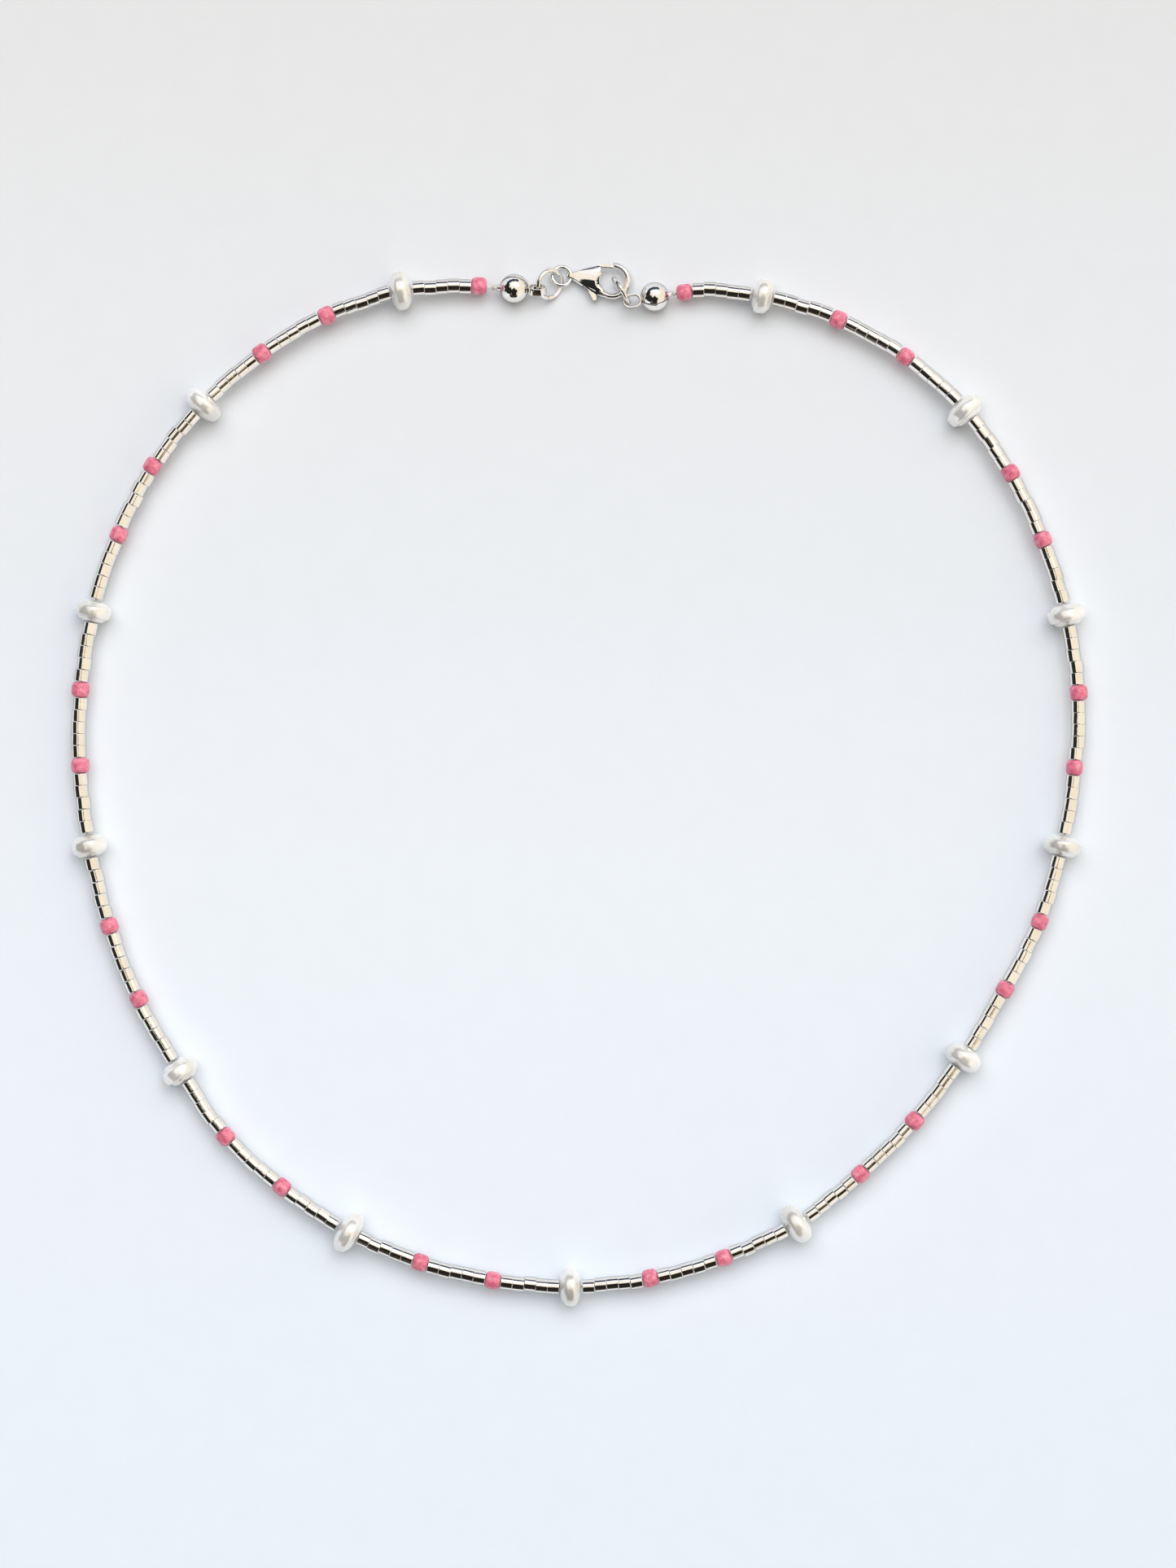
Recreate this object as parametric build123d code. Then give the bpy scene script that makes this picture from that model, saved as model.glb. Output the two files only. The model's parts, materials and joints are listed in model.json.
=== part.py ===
from build123d import *
import math
import os
import random

# A closed single-strand bead necklace lying on a table, fastened with a small lobster clasp.
# Origin: under the middle of its bounding box, on the table. +Z up, +Y towards the clasp.
# All lengths are in millimetres.

# ---- beads and thread ----
SILVER_DIAMETER = 1.6
SILVER_LENGTH = 1.25
SILVER_EDGE = 0.05
PINK_DIAMETER = 2.1
PINK_LENGTH = 1.75
PINK_EDGE = 0.5
BORE_DIAMETER = 0.8
THREAD_DIAMETER = 0.3
BEADS_PER_RUN = 5
END_GAP = 0.04            # between the beads of the two short end runs
FLEX_GAP = 0.14           # beside a pearl where the strand flexes, on its far side
THREAD_SPLIT = 0.05       # half the gap between two stretches of thread at a flex point
MOST_SIDE_STEP = 0.10     # how far a silver bead sits off the thread's line
MOST_LIFT = 0.05

# ---- the strand's line ----
# Corners of the strand, counter-clockwise from the left of the clasp. The first and the last
# are bends beside the knot covers. From the second on, every third corner is a pearl, which
# rests on the table and so sets the strand's height there.
COVER_HEIGHT = 1.65
FLAT_CORNERS = [
    (-13.0, 55.2),
    (-20.0, 54.8), (-28.0, 52.1), (-35.3, 47.9),
    (-41.9, 42.1), (-47.4, 35.4), (-51.3, 27.7),
    (-54.1, 19.2), (-55.4, 10.7), (-55.6, 2.2),
    (-54.5, -6.8), (-52.3, -15.4), (-49.2, -23.7),
    (-44.4, -31.7), (-39.6, -38.7), (-33.5, -44.4),
    (-25.8, -49.6), (-17.9, -52.9), (-9.8, -54.9),
    (-1.2, -55.7), (7.6, -54.8), (15.8, -52.4),
    (23.9, -48.7), (31.1, -43.0), (37.1, -37.0),
    (42.3, -30.2), (47.0, -22.6), (50.8, -15.3),
    (53.3, -6.8), (54.7, 1.6), (55.2, 10.0),
    (53.8, 18.8), (51.2, 27.1), (47.5, 34.6),
    (42.6, 41.5), (35.8, 47.6), (28.5, 51.7),
    (20.1, 54.2),
    (13.0, 54.9),
]
THREAD_PAST_COVER_CENTRE = 0.75
LEFT_COVER_CENTRE = Vector(-7.4, 54.9, COVER_HEIGHT)
RIGHT_COVER_CENTRE = Vector(8.15, 54.02, COVER_HEIGHT)
LEFT_THREAD_END = LEFT_COVER_CENTRE + Vector(THREAD_PAST_COVER_CENTRE, -0.04, -0.01)
RIGHT_THREAD_END = RIGHT_COVER_CENTRE + Vector(-THREAD_PAST_COVER_CENTRE, -0.13, -0.01)

# Diameter and thickness of each pearl, counter-clockwise from the left of the clasp.
PEARL_SIZES = [
    (4.5, 2.4), (4.8, 2.4), (4.1, 2.5), (4.1, 2.6), (4.3, 2.7), (4.9, 2.5), (4.5, 2.4),
    (4.8, 2.6), (4.5, 2.6), (4.4, 2.4), (4.4, 2.6), (4.6, 2.5), (4.1, 2.4),
]
# The pearls where the strand flexes, and so where one stretch of thread ends.
FLEX_PEARLS = [1, 3, 4, 6, 7, 8, 10, 11, 13]
ROOT_STRETCH = 5          # the stretch that the others hang from, between pearls 6 and 7

# ---- knot covers ----
COVER_RADIUS = 1.62
COVER_WALL = 0.22
COVER_HOLE_RADIUS = 0.22
SEAM_WIDTH = 0.07
FOLD_WIDTH = 0.74
FOLD_EDGE = 0.12
FOLD_REACH = 0.35         # how far the fold stands out of the ball
LOOP_LENGTH = 2.1
LOOP_WIDTH = 1.55
LOOP_RIBBON = 0.2         # thickness of the ribbon that the loop is bent from
LOOP_DEPTH = 0.8          # width of that ribbon
KNOT_RADIUS = 0.42
KNOT_LENGTH = 0.4
KNOT_GAP = 0.04           # between the knot and the cover's fold
CRIMP_SIZE = (0.72, 0.5, 1.1)
CRIMP_EDGE = 0.12
THREAD_CLEARANCE = 0.02

# ---- rings ----
JUMP_RING_RADIUS = 1.55   # to the middle of the wire
JUMP_RING_WIRE = 0.25     # wire radius
TAIL_RING_RADIUS = 1.05
TAIL_RING_WIRE = 0.21
RING_SLIT = 0.06

# ---- clasp, in its own frame: origin in the middle of the hook's opening, +X to the hook ----
CLASP_CENTRE = Vector(3.5, 55.85, 1.03)
CLASP_TURN = -4.8         # degrees, in plan
CLASP_RISE = 3.0          # degrees, towards the hook
HOOK_OUTER = 2.05
HOOK_INNER = 1.38
HOOK_HALF_THICKNESS = 0.44
# Cross-sections of the body along X: x, lowest y, highest y, half thickness, chamfer.
BODY_SECTIONS = [
    (-4.5, -0.25, 0.68, 0.36, 0.14),
    (-1.75, -1.68, 1.66, 0.86, 0.4),
    (-0.85, -1.9, 1.86, 0.5, 0.3),
]
LIP_INNER = 1.44          # the flared opening, a little wider than the ring's
LIP_RADIUS = 2.0
LIP_HEIGHTS = (0.5, 0.95)
SLOT_WIDTH = 0.84
TRIGGER_THICKNESS = 0.68
PIVOT = (-2.35, -0.2)
PIN_RADIUS = 0.25
PIN_CLEARANCE = 0.05
EYE_X = -4.65
EYE_Y = 0.2
EYE_RADIUS = 0.52
EYE_HOLE = 0.34
EYE_WIDTH = 0.5


def unit(x, y, z):
    """A direction of length one."""
    return Vector(x, y, z).normalized()


def lathe(profile):
    """A solid turned about Z from a profile drawn in the XZ plane."""
    return revolve(profile, axis=Axis.Z)


# ---- bead shapes, each about Z with its middle at the origin ----

def silver_bead():
    bead = Cylinder(SILVER_DIAMETER / 2, SILVER_LENGTH)
    bead = fillet(bead.edges().filter_by(GeomType.CIRCLE), SILVER_EDGE)
    return bead - Cylinder(BORE_DIAMETER / 2, 2 * SILVER_LENGTH)


def pink_bead():
    bead = Cylinder(PINK_DIAMETER / 2, PINK_LENGTH)
    bead = fillet(bead.edges().filter_by(GeomType.CIRCLE), PINK_EDGE)
    return bead - Cylinder(BORE_DIAMETER / 2, 2 * PINK_LENGTH)


def pearl(diameter, thickness):
    """A button pearl: low domed faces that run into a full round rim."""
    outer = diameter / 2
    half = thickness / 2
    bore = BORE_DIAMETER / 2
    shoulder = (0.8 * outer, 0, 0.74 * half)
    under = (0.8 * outer, 0, -0.74 * half)
    crown = (0.45 * outer, 0, 0.96 * half)
    base = (0.45 * outer, 0, -0.96 * half)
    outline = [
        Line((bore, 0, -half), (bore, 0, half)),
        ThreePointArc((bore, 0, half), crown, shoulder),
        ThreePointArc(shoulder, (outer, 0, 0), under),
        ThreePointArc(under, base, (bore, 0, -half)),
    ]
    return lathe(make_face(outline))


# ---- the strand ----

def strand_heights():
    """The strand's height at every pearl and at the two corners between pearls."""
    at_pearls = [diameter / 2 for diameter, thickness in PEARL_SIZES]
    heights = []
    for before, after in zip(at_pearls, at_pearls[1:]):
        step = (after - before) / 3
        heights.extend([before, before + step, before + 2 * step])
    return heights + at_pearls[-1:]


def strand_corners():
    heights = strand_heights()
    first_height = (heights[0] + COVER_HEIGHT) / 2
    last_height = (heights[-1] + COVER_HEIGHT) / 2
    inner = [Vector(*corner, height) for corner, height in zip(FLAT_CORNERS[1:-1], heights)]
    left = [LEFT_THREAD_END, Vector(*FLAT_CORNERS[0], first_height)]
    right = [Vector(*FLAT_CORNERS[-1], last_height), RIGHT_THREAD_END]
    return left + inner + right


def bend_radii(corners):
    """As large an arc at each corner as the two runs beside it allow."""
    radii = []
    for before, corner, after in zip(corners, corners[1:], corners[2:]):
        run_in = corner - before
        run_out = after - corner
        half_turn = math.radians(run_in.get_angle(run_out)) / 2
        shorter = min(run_in.length, run_out.length)
        radii.append(0.45 * shorter / math.tan(half_turn))
    return radii


class Strand:
    """The line that the beads are strung on, measured along its length."""

    def __init__(self):
        corners = strand_corners()
        radii = bend_radii(corners)
        self.wire = FilletPolyline(*corners, radius=radii)
        self.length = self.wire.length
        lengths = [edge.length for edge in self.wire.order_edges()]
        arc_middles = [
            sum(lengths[:at]) + lengths[at] / 2 for at in range(1, len(lengths), 2)
        ]
        self.pearls = arc_middles[1::3]
        print("bend radii", [round(radius, 1) for radius in radii])
        print("strand length", round(self.length, 2))

    def point(self, distance):
        return self.wire.position_at(distance / self.length)

    def direction(self, distance):
        return self.wire.tangent_at(distance / self.length)

    def place(self, distance, side_step=0.0, lift=0.0):
        """Where a bead sits, with its axis along the strand."""
        along = self.direction(distance)
        sideways = Vector(0, 0, 1).cross(along).normalized()
        middle = self.point(distance) + sideways * side_step + Vector(0, 0, lift)
        return Plane(origin=middle, x_dir=sideways, z_dir=along).location

    def thread(self, start, end):
        """A stretch of thread between two distances along the strand."""
        path = self.wire.trim(start / self.length, end / self.length)
        section = Plane(origin=path @ 0, z_dir=path % 0) * Circle(THREAD_DIAMETER / 2)
        tube = sweep(section, path=path)
        share = tube.volume / (math.pi * THREAD_DIAMETER ** 2 / 4 * (end - start))
        print("thread stretch", round(end - start, 2), "volume share", round(share, 4))
        return tube


def run_pattern(runs):
    """The beads of one span: runs of silver beads with a pink bead between runs."""
    pattern = []
    for run in range(runs):
        if run > 0:
            pattern.append("pink")
        pattern.extend(["silver"] * BEADS_PER_RUN)
    return pattern


def stringing(strand):
    """Every bead's kind, stretch number and distance along the strand."""
    thickness = {"silver": SILVER_LENGTH, "pink": PINK_LENGTH}
    beads = []
    stretch = 1

    def lay(pattern, start, step_sign, gap, number):
        at = start
        for kind in pattern:
            at += step_sign * (gap + thickness[kind] / 2)
            beads.append((kind, number, at))
            at += step_sign * thickness[kind] / 2

    end_pattern = run_pattern(1) + ["pink"]
    first_face = strand.pearls[0] - PEARL_SIZES[0][1] / 2 - FLEX_GAP
    lay(end_pattern, first_face, -1, END_GAP, stretch)
    for number in range(1, len(PEARL_SIZES)):
        flex_before = number in FLEX_PEARLS
        flex_after = number + 1 in FLEX_PEARLS
        if flex_before:
            stretch += 1
        start = strand.pearls[number - 1] + PEARL_SIZES[number - 1][1] / 2
        end = strand.pearls[number] - PEARL_SIZES[number][1] / 2
        if flex_before and stretch > ROOT_STRETCH:
            start += FLEX_GAP
        if flex_after and stretch < ROOT_STRETCH:
            end -= FLEX_GAP
        pattern = run_pattern(3)
        bead_total = sum(thickness[kind] for kind in pattern)
        gap = (end - start - bead_total) / (len(pattern) + 1)
        print("span", number, "gap", round(gap, 3))
        lay(pattern, start, 1, gap, stretch)
    last_face = strand.pearls[-1] + PEARL_SIZES[-1][1] / 2 + FLEX_GAP
    lay(end_pattern, last_face, 1, END_GAP, stretch + 1)
    return beads


def bead_nodes(strand):
    """Silver and pink beads, one node of each for every stretch."""
    dice = random.Random(11)
    shapes = {"silver": silver_bead(), "pink": pink_bead()}
    nodes = {}
    for kind, stretch, distance in stringing(strand):
        side_step = dice.uniform(-MOST_SIDE_STEP, MOST_SIDE_STEP)
        lift = dice.uniform(-MOST_LIFT, MOST_LIFT)
        bead = strand.place(distance, side_step, lift) * shapes[kind]
        nodes.setdefault(f"{kind}_beads_{stretch:02d}", []).append(bead)
    return nodes


def pearl_nodes(strand):
    nodes = {}
    for number, (diameter, thickness) in enumerate(PEARL_SIZES, start=1):
        place = strand.place(strand.pearls[number - 1])
        nodes[f"pearl_{number:02d}"] = [place * pearl(diameter, thickness)]
    return nodes


def thread_nodes(strand):
    splits = [strand.pearls[number - 1] for number in FLEX_PEARLS]
    starts = [0.0] + [split + THREAD_SPLIT for split in splits]
    ends = [split - THREAD_SPLIT for split in splits] + [strand.length]
    nodes = {}
    for number, (start, end) in enumerate(zip(starts, ends), start=1):
        nodes[f"thread_{number:02d}"] = [strand.thread(start, end)]
    return nodes


# ---- ends: knot, crimp bead and knot cover, in the cover's own frame ----
# Origin in the ball's middle, +X away from the strand, +Z along the ribbon loop's axis.

def ribbon_loop():
    """A ribbon bent into a long closed loop, with its short neck into the ball."""
    outer = SlotOverall(LOOP_LENGTH, LOOP_WIDTH)
    inner = SlotOverall(LOOP_LENGTH - 2 * LOOP_RIBBON, LOOP_WIDTH - 2 * LOOP_RIBBON)
    band = extrude(outer - inner, LOOP_DEPTH / 2, both=True)
    reach = COVER_RADIUS - 0.1
    return Pos(reach + LOOP_LENGTH / 2, 0, 0) * band


def knot_cover(place, seam_roll, fold_place):
    """Two cups shut over the crimp, joined by a fold that the thread runs through."""
    hollow = place * Sphere(COVER_RADIUS - COVER_WALL)
    fold = fillet(Box(FOLD_WIDTH, FOLD_WIDTH, 2 * FOLD_REACH).edges(), FOLD_EDGE)
    cups = place * Sphere(COVER_RADIUS) + fold_place * fold - hollow
    seam = Pos(0.75, 0, 0) * Box(2 * COVER_RADIUS, SEAM_WIDTH, 3 * COVER_RADIUS)
    cups -= place * Rot(seam_roll, 0, 0) * seam
    cups += place * ribbon_loop() - hollow
    return cups - fold_place * Cylinder(COVER_HOLE_RADIUS, 4 * FOLD_REACH)


def crimp_bead():
    """A metal bead crushed flat on the thread, about Z."""
    wide, low, length = CRIMP_SIZE
    crushed = extrude(Ellipse(wide, low), length / 2, both=True)
    crushed = fillet(crushed.edges(), CRIMP_EDGE)
    return crushed - Cylinder(THREAD_DIAMETER / 2 + THREAD_CLEARANCE, 2 * length)


def thread_knot():
    """The lump of the knot in the thread, about Z."""
    lump = Cylinder(KNOT_RADIUS, KNOT_LENGTH)
    lump = fillet(lump.edges(), 0.4 * KNOT_LENGTH)
    return lump - Cylinder(THREAD_DIAMETER / 2 + THREAD_CLEARANCE, 2 * KNOT_LENGTH)


def end_nodes(strand):
    nodes = {}
    sides = {
        "left": (LEFT_COVER_CENTRE, unit(0.985, -0.06, 0.11), unit(-0.24, 0.83, 0.51), 9),
        "right": (RIGHT_COVER_CENTRE, unit(-0.975, -0.2, 0.06), unit(0.06, 0, 1.0), -37),
    }
    from_end = {"left": 0.0, "right": strand.length}
    inward = {"left": 1, "right": -1}
    cover_to_knot = COVER_RADIUS + FOLD_REACH + KNOT_GAP + KNOT_LENGTH / 2

    def along(side, distance):
        """A place on the thread, measured from the middle of that side's cover."""
        reach = THREAD_PAST_COVER_CENTRE + distance
        return strand.place(from_end[side] + inward[side] * reach)

    for side, (centre, outward, loop_axis, seam_roll) in sides.items():
        across = loop_axis.cross(outward).normalized()
        place = Plane(origin=centre, x_dir=outward, z_dir=outward.cross(across)).location
        cover = knot_cover(place, seam_roll, along(side, COVER_RADIUS))
        nodes[f"{side}_knot_cover"] = [cover]
        nodes[f"{side}_crimp_bead"] = [along(side, 0) * crimp_bead()]
        nodes[f"{side}_thread_knot"] = [along(side, cover_to_knot) * thread_knot()]
    return nodes


# ---- rings ----

def open_ring(radius, wire, centre, normal, slit_towards):
    """A ring of round wire, closed up to a fine slit."""
    away = slit_towards - centre
    across = normal.cross(away).normalized()
    frame = Plane(origin=centre, x_dir=across.cross(normal), z_dir=normal).location
    slit = Pos(radius, 0, 0) * Box(4 * wire, RING_SLIT, 4 * wire)
    return frame * (Torus(radius, wire) - slit)


def ring_nodes():
    left = open_ring(
        JUMP_RING_RADIUS, JUMP_RING_WIRE, Vector(-3.466, 55.471, 1.31),
        unit(0.587, -0.295, 0.754), Vector(-3.4, 53.0, 1.3),
    )
    right = open_ring(
        JUMP_RING_RADIUS, JUMP_RING_WIRE, Vector(4.43, 54.66, 1.82),
        unit(0.848, 0.53, 0), Vector(4.43, 54.66, 5.0),
    )
    return {"left_jump_ring": [left], "right_jump_ring": [right]}


def tail_ring_node():
    ring = open_ring(
        TAIL_RING_RADIUS, TAIL_RING_WIRE, Vector(-2.158, 56.414, 0.854),
        unit(0.06, 0.139, 0.988), Vector(-2.1, 60.0, 0.8),
    )
    return {"clasp_tail_ring": [ring]}


# ---- clasp ----

def clasp_place():
    turn = math.radians(CLASP_TURN)
    rise = math.radians(CLASP_RISE)
    forward = Vector(
        math.cos(turn) * math.cos(rise), math.sin(turn) * math.cos(rise), math.sin(rise)
    )
    left_of_it = Vector(0, 0, 1).cross(forward).normalized()
    return Plane(origin=CLASP_CENTRE, x_dir=forward, z_dir=forward.cross(left_of_it)).location


def plate(points, thickness):
    """A flat piece of even thickness, half above and half below Z = 0."""
    return extrude(make_face(Polyline(*points, close=True)), thickness / 2, both=True)


def body_section(x, low, high, half, chamfer):
    """An eight-cornered cross-section of the clasp's body."""
    corners = [
        (x, low + chamfer, -half), (x, high - chamfer, -half), (x, high, chamfer - half),
        (x, high, half - chamfer), (x, high - chamfer, half), (x, low + chamfer, half),
        (x, low, half - chamfer), (x, low, chamfer - half),
    ]
    return make_face(Polyline(*corners, close=True))


def hook_ring():
    """The ring round the opening, of oval wire."""
    middle = (HOOK_OUTER + HOOK_INNER) / 2
    oval = Plane.XZ * Pos(middle, 0) * Ellipse((HOOK_OUTER - HOOK_INNER) / 2, HOOK_HALF_THICKNESS)
    return revolve(oval, axis=Axis.Z)


def flared_opening():
    """What is cut from the body for the opening, with a lip that slopes down into it."""
    low, high = LIP_HEIGHTS
    profile = Polyline(
        (0, 0, -high), (LIP_RADIUS, 0, -high), (LIP_INNER, 0, -low), (LIP_INNER, 0, low),
        (LIP_RADIUS, 0, high), (0, 0, high), close=True,
    )
    return lathe(make_face(profile))


def body_blank():
    """The body without its slot, eye and mouth."""
    faces = [body_section(*section) for section in BODY_SECTIONS]
    tapered = loft(faces, ruled=True)
    return tapered - flared_opening()


def clasp_body():
    body = body_blank() + hook_ring()
    mouth = [(-1.24, 0.6), (-1.42, 1.0), (-1.42, 2.6), (-0.14, 2.6), (-0.1, 1.85),
             (0.17, 1.34), (0.17, 0.6)]
    body -= plate(mouth, 4)
    body = body.solids().sort_by(SortBy.VOLUME)[-1]
    eye = Rot(90, 0, 0) * Cylinder(EYE_RADIUS, EYE_WIDTH)
    neck = Pos(EYE_X + 0.3, EYE_Y, 0) * Box(0.6, EYE_WIDTH, 0.6)
    body += Pos(EYE_X, EYE_Y, 0) * eye + neck
    body -= Pos(EYE_X, EYE_Y, 0) * Rot(90, 0, 0) * Cylinder(EYE_HOLE, 3)
    slot = [
        (-3.25, -0.9), (-3.15, 0.3), (-2.6, 1.0), (-2.1, 2.4), (-1.0, 2.4),
        (-1.0, -0.2), (-1.55, -0.6), (-1.45, -2.6), (-3.4, -2.6),
    ]
    body -= plate(slot, SLOT_WIDTH)
    return body - Pos(*PIVOT, 0) * Cylinder(PIN_RADIUS, 4)


def clasp_trigger():
    """The lever: a thumb tab below the pin and a gate bar above it."""
    hub = Pos(*PIVOT, 0) * Cylinder(0.45, TRIGGER_THICKNESS)
    gate = [
        (-2.75, -0.25), (-2.25, 1.35), (-1.95, 1.74), (-0.18, 1.74), (0.04, 1.38),
        (-1.5, 1.38), (-1.5, 0.5), (-1.95, -0.35),
    ]
    thumb = [
        (-2.75, -0.3), (-1.95, -0.3), (-1.58, -2.2), (-1.72, -2.4), (-2.0, -2.42), (-2.55, -1.5),
    ]
    lever = hub + plate(gate, TRIGGER_THICKNESS) + plate(thumb, TRIGGER_THICKNESS)
    return lever - Pos(*PIVOT, 0) * Cylinder(PIN_RADIUS + PIN_CLEARANCE, 4)


def trigger_pin():
    """The rivet, filed flush with the body's sides."""
    return Pos(*PIVOT, 0) * Cylinder(PIN_RADIUS, 4) & body_blank()


def trigger_spring():
    """A bent leaf between the slot's end wall and the thumb side of the lever."""
    leaf = [
        (-3.14, 0.1), (-3.05, 0.1), (-3.08, -0.62), (-2.98, -0.72), (-2.9, -0.66),
        (-2.84, -0.4), (-2.78, -0.44), (-2.9, -0.76), (-3.0, -0.86), (-3.16, -0.7),
    ]
    return plate(leaf, TRIGGER_THICKNESS - 0.1)


def clasp_nodes():
    place = clasp_place()
    return {
        "clasp_body": [place * clasp_body()],
        "clasp_trigger": [place * clasp_trigger()],
        "trigger_pin": [place * trigger_pin()],
        "trigger_spring": [place * trigger_spring()],
    }


# ---- the whole necklace ----

def all_nodes():
    strand = Strand()
    nodes = pearl_nodes(strand)
    nodes.update(bead_nodes(strand))
    nodes.update(thread_nodes(strand))
    nodes.update(end_nodes(strand))
    nodes.update(ring_nodes())
    nodes.update(tail_ring_node())
    nodes.update(clasp_nodes())
    return nodes


def centring(nodes):
    """The move that puts the origin under the middle of the bounding box."""
    everything = Compound(children=[solid for group in nodes.values() for solid in group])
    box = everything.bounding_box()
    return Vector(-box.center().X, -box.center().Y, -box.min.Z)


def write(nodes, shift):
    os.makedirs("parts", exist_ok=True)
    for name, group in nodes.items():
        moved = [Pos(*shift) * piece for piece in group]
        solids = [solid for piece in moved for solid in piece.solids()]
        shape = solids[0] if len(solids) == 1 else Compound(children=solids)
        shape.label = name
        export_step(shape, f"parts/{name}.step")


def main():
    nodes = all_nodes()
    shift = centring(nodes)
    print("shift", [round(part, 3) for part in (shift.X, shift.Y, shift.Z)])
    write(nodes, shift)


if __name__ == "__main__":
    main()
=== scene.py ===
import json
import math
import random

import bmesh
import bpy
import numpy as np
from mathutils import Matrix, Vector, noise

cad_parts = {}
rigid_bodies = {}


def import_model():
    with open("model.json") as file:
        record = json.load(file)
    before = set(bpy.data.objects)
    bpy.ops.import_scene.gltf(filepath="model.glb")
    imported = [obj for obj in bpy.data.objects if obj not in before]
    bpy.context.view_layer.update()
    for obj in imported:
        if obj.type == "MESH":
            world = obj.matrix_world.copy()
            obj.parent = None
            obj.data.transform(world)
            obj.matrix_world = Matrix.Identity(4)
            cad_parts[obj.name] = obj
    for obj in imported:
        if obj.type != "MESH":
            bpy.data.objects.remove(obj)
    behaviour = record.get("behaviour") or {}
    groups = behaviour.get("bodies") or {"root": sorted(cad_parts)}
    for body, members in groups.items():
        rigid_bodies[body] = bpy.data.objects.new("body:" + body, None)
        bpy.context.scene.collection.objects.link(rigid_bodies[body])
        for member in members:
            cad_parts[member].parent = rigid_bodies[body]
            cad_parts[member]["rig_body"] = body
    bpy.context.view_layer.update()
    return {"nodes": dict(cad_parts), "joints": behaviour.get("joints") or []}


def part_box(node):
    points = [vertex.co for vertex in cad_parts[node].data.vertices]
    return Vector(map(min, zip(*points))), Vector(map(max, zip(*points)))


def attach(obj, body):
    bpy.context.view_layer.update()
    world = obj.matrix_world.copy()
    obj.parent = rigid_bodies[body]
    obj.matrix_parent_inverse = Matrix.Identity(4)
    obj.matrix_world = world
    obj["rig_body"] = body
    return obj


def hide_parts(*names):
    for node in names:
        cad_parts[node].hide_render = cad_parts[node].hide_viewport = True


# Looks for the closed bead necklace with pearls and a lobster clasp.
# Lengths in this script are millimetres, and MM turns them into Blender's metres.

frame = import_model()

MM = 0.001
UP = Vector((0, 0, 1))
CENTRING = Vector((0.17, -0.069, 0.029))   # the part's own move to its origin

# ---- bead sizes, the same as the part's ----
SILVER_RADIUS = 0.8
SILVER_HALF = 0.625        # half a bead's length
SILVER_EXTRA = 0.008       # added to it here, so that neighbours all but touch
PINK_RADIUS = 1.05
PINK_HALF = 0.875
PINK_SHOULDER = 0.5        # radius of its rounded ends
BORE_RADIUS = 0.4
PEARL_SIZES = [            # diameter and thickness
    (4.5, 2.4), (4.8, 2.4), (4.1, 2.5), (4.1, 2.6), (4.3, 2.7), (4.9, 2.5), (4.5, 2.4),
    (4.8, 2.6), (4.5, 2.6), (4.4, 2.4), (4.4, 2.6), (4.6, 2.5), (4.1, 2.4),
]
STEPPED_PEARLS = (3, 5, 11, 12)    # a dome that stands on a wider rim
STRETCHES = 10             # stretches of strand between two flexing pearls

# ---- hardware sizes, the same as the part's ----
COVER_RADIUS = 1.62
COVER_WALL = 0.22
SEAM_HALF = 0.035
LOOP_LENGTH = 2.1
LOOP_WIDTH = 1.55
LOOP_RIBBON = 0.2
LOOP_DEPTH = 0.8
JUMP_RING = (1.55, 0.25)   # radius to the wire's middle, and the wire's radius
TAIL_RING = (1.05, 0.21)
RING_SLIT = 0.06           # between the wire's two ends
KNOT_LINE = 0.14           # radius of the line in a thread knot
KNOT_RADIUS = 0.23
KNOT_WAVER = 0.075
KNOT_HALF_LENGTH = 0.13


# ======================= mesh helpers =======================

def make_object(name, vertices, faces):
    """A smooth-shaded object from points in millimetres."""
    mesh = bpy.data.meshes.new(name)
    mesh.from_pydata([tuple(Vector(point) * MM) for point in vertices], [], faces)
    mesh.update()
    mesh.polygons.foreach_set("use_smooth", [True] * len(mesh.polygons))
    piece = bpy.data.objects.new(name, mesh)
    bpy.context.scene.collection.objects.link(piece)
    return piece


def finish_piece(piece, material, body, slot, *nodes):
    """Gives a piece its material and body, and puts it in place of its CAD nodes."""
    piece.data.materials.clear()
    piece.data.materials.append(material)
    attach(piece, body)
    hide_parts(*nodes)


def frame_matrix(origin, along):
    """A placing matrix with Z along a direction and X level."""
    z_axis = along.normalized()
    x_axis = UP.cross(z_axis).normalized()
    y_axis = z_axis.cross(x_axis)
    turn = Matrix((x_axis, y_axis, z_axis)).transposed().to_4x4()
    return Matrix.Translation(origin) @ turn


def lathe_grid(profile, segments):
    """Points and faces of a closed outline of (radius, height) turned about Z."""
    points = []
    for step in range(segments):
        angle = 2 * math.pi * step / segments
        cosine, sine = math.cos(angle), math.sin(angle)
        points.extend(Vector((r * cosine, r * sine, z)) for r, z in profile)
    count = len(profile)
    faces = []
    for step in range(segments):
        here = step * count
        there = (step + 1) % segments * count
        for at in range(count):
            after = (at + 1) % count
            faces.append((here + at, there + at, there + after, here + after))
    return points, faces


class Gather:
    """Collects copies of shapes into one mesh."""

    def __init__(self):
        self.points = []
        self.faces = []

    def add(self, points, faces, matrix=None):
        start = len(self.points)
        if matrix is not None:
            points = [matrix @ point for point in points]
        self.points.extend(points)
        self.faces.extend(tuple(start + corner for corner in face) for face in faces)

    def build(self, name):
        return make_object(name, self.points, self.faces)


def connected_faces(vertex, seen):
    """Every face of the solid that a vertex belongs to. Its vertices are added to seen."""
    stack = [vertex]
    seen.add(vertex.index)
    faces = set()
    while stack:
        at = stack.pop()
        faces.update(at.link_faces)
        for edge in at.link_edges:
            other = edge.other_vert(at)
            if other.index not in seen:
                seen.add(other.index)
                stack.append(other)
    return sorted(faces, key=lambda face: face.index)


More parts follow.
